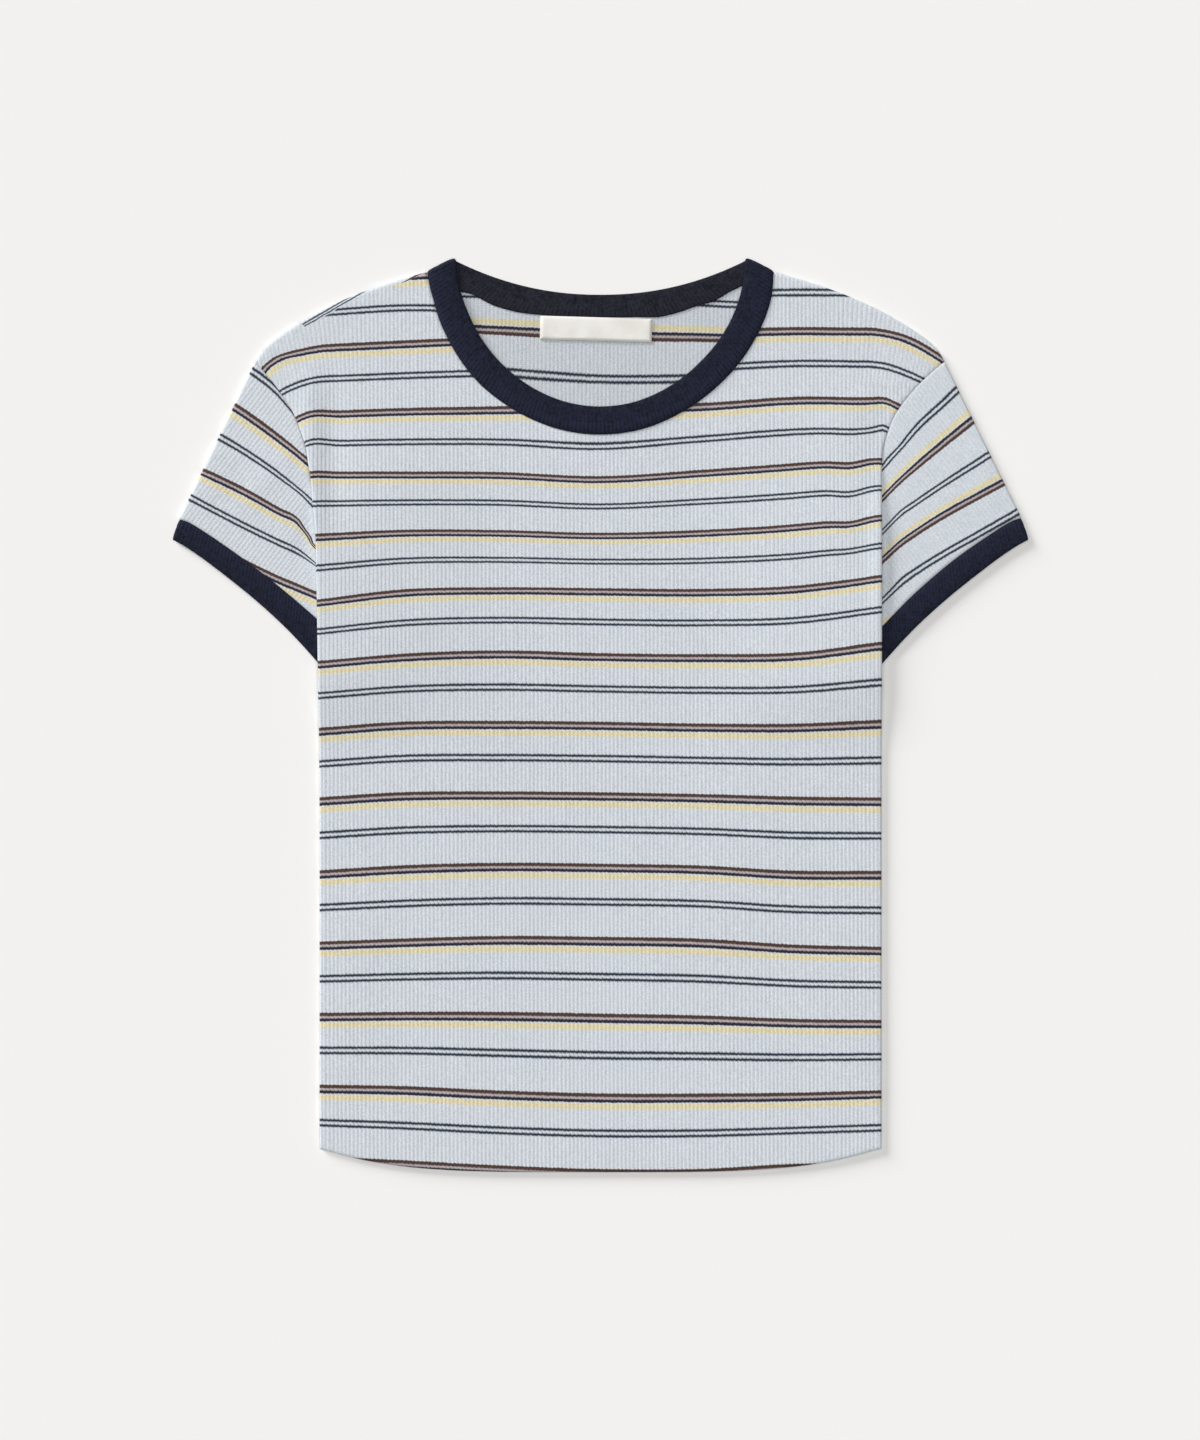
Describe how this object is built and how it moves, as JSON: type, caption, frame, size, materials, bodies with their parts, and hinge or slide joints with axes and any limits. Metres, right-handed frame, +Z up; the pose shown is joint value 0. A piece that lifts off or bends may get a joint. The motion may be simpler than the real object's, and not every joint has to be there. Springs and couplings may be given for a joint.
{
  "type": "short sleeve t-shirt",
  "caption": "Slim cropped short sleeve t-shirt in striped rib knit with contrast neckband and cuffs, laid flat on its back.",
  "frame": {"origin": "on the floor, under the middle of the laid-out shirt's outline", "axes": "+Z up off the floor, +Y from the hem towards the neck, +X towards the wearer's left sleeve"},
  "size_m": [0.479, 0.5121, 0.0064],
  "materials": {
    "striped_rib_knit": "matt",
    "navy_rib_knit": "matt",
    "cream_woven_label": "soft satin"
  },
  "bodies": {
    "root": {"back": "striped_rib_knit", "front": "striped_rib_knit", "sleeve_right": "striped_rib_knit", "sleeve_left": "striped_rib_knit", "neckband": "navy_rib_knit", "cuff_right": "navy_rib_knit", "cuff_left": "navy_rib_knit", "label": "cream_woven_label"}
  },
  "joints": []
}
